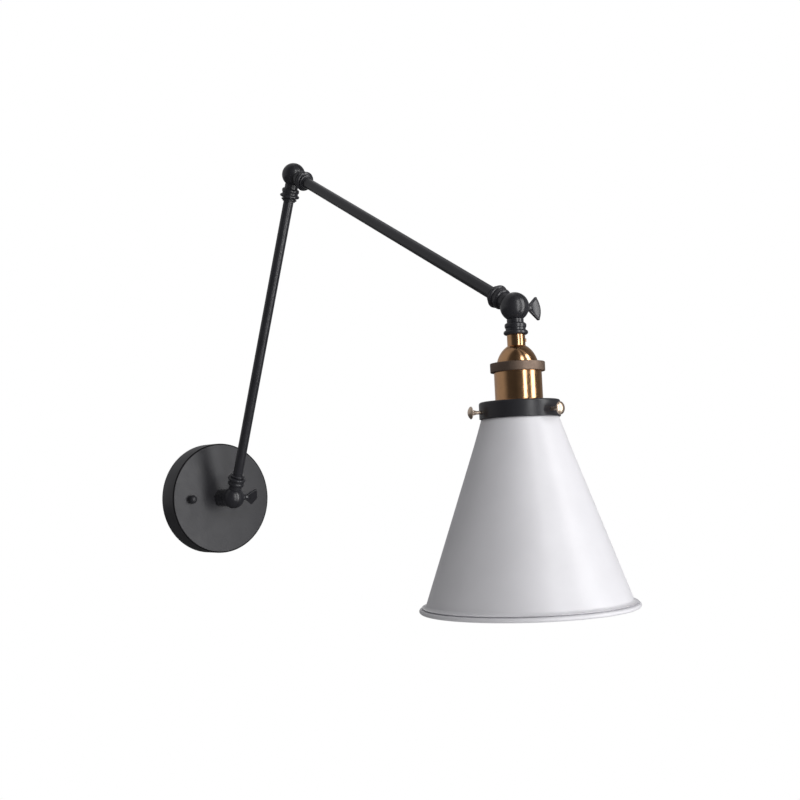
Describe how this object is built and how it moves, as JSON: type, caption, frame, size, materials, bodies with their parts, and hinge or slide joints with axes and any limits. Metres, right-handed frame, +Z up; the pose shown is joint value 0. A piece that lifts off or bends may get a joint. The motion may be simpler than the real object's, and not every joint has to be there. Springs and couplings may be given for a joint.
{
  "type": "adjustable wall lamp",
  "caption": "Wall lamp with a round canopy, two tube arms on clamped ball swivels and a tilting lampholder with a cone shade open at the bottom.",
  "frame": {"origin": "centre of the mounting bar's back face, on the wall, behind the middle of the canopy", "axes": "+Y into the wall, so the lamp reaches out along -Y; +Z up; +X to the right of someone who faces the wall"},
  "size_m": [0.1778, 0.5911, 0.4403],
  "materials": {
    "black": "satin black powder coat",
    "zinc": "zinc plated",
    "green_steel": "green for earth",
    "insulation": "matte",
    "connector": "matte",
    "friction_disc": "matte",
    "brass": "polished, slightly aged",
    "bronze": "dull dark bronze",
    "insulator": "glazed",
    "aluminium": "bright",
    "bright_brass": "bright",
    "white_enamel": "gloss white enamel",
    "bulb_glass": "clear",
    "filament": "amber"
  },
  "bodies": {
    "wall_mount": {"canopy": "black", "mounting_bar": "zinc", "canopy_studs": "zinc", "cap_nuts": "black", "earth_screw": "green_steel", "stem_knuckle": "black", "lock_washer": "zinc", "locknut": "zinc", "stem_wires": "insulation", "wire_connectors": "connector", "base_washer": "friction_disc"},
    "base_wing": {"base_wing_screw": "black"},
    "lower_arm": {"lower_foot_knuckle": "black", "lower_arm_tube": "black", "lower_top_knuckle": "black", "lower_arm_wires": "insulation", "elbow_screw": "black", "elbow_washer": "friction_disc"},
    "upper_arm": {"upper_foot_knuckle": "black", "upper_arm_tube": "black", "upper_end_knuckle": "black", "upper_arm_wires": "insulation", "head_washer": "friction_disc"},
    "head_wing": {"head_wing_screw": "black"},
    "head": {"head_knuckle": "black", "head_wires": "insulation", "socket_cap": "brass", "socket_set_screw": "brass", "socket_band": "bronze", "socket_shell": "brass", "socket_core": "insulator", "terminal_screws": "brass", "centre_contact": "brass", "screw_shell": "aluminium", "shade_holder": "black", "clamping_ring": "black", "shade": "white_enamel", "bulb_cap": "aluminium", "bulb_glass": "bulb_glass", "bulb_filament": "filament"},
    "shade_thumbscrew_1": {"shade_screw_1": "bright_brass"},
    "shade_thumbscrew_2": {"shade_screw_2": "bright_brass"},
    "shade_thumbscrew_3": {"shade_screw_3": "bright_brass"}
  },
  "joints": [
    {"name": "base_tilt", "type": "hinge", "parent": "wall_mount", "child": "lower_arm", "pos_m": [0, -0.05, 0], "axis": [1, 0, 0], "range_deg": [-23, 157]},
    {"name": "elbow_tilt", "type": "hinge", "parent": "lower_arm", "child": "upper_arm", "pos_m": [0, -0.19098, 0.33212], "axis": [1, 0, 0], "range_deg": [-207.4, 12.6]},
    {"name": "head_tilt", "type": "hinge", "parent": "upper_arm", "child": "head", "pos_m": [0, -0.50217, 0.14954], "axis": [1, 0, 0], "range_deg": [-169.6, 50.4]},
    {"name": "base_wing_turn", "type": "hinge", "parent": "wall_mount", "child": "base_wing", "pos_m": [0, -0.05, 0], "axis": [1, 0, 0], "range_deg": [0, 270]},
    {"name": "head_wing_turn", "type": "hinge", "parent": "upper_arm", "child": "head_wing", "pos_m": [0, -0.50217, 0.14954], "axis": [1, 0, 0], "range_deg": [0, 270]},
    {"name": "shade_screw_turn_1", "type": "hinge", "parent": "head", "child": "shade_thumbscrew_1", "pos_m": [0, -0.50217, 0.06344], "axis": [0.0872, -0.9962, 0], "range_deg": [0, 270]},
    {"name": "shade_screw_turn_2", "type": "hinge", "parent": "head", "child": "shade_thumbscrew_2", "pos_m": [0, -0.50217, 0.06344], "axis": [0.8192, 0.5736, 0], "range_deg": [0, 270]},
    {"name": "shade_screw_turn_3", "type": "hinge", "parent": "head", "child": "shade_thumbscrew_3", "pos_m": [0, -0.50217, 0.06344], "axis": [-0.9063, 0.4226, 0], "range_deg": [0, 270]}
  ]
}
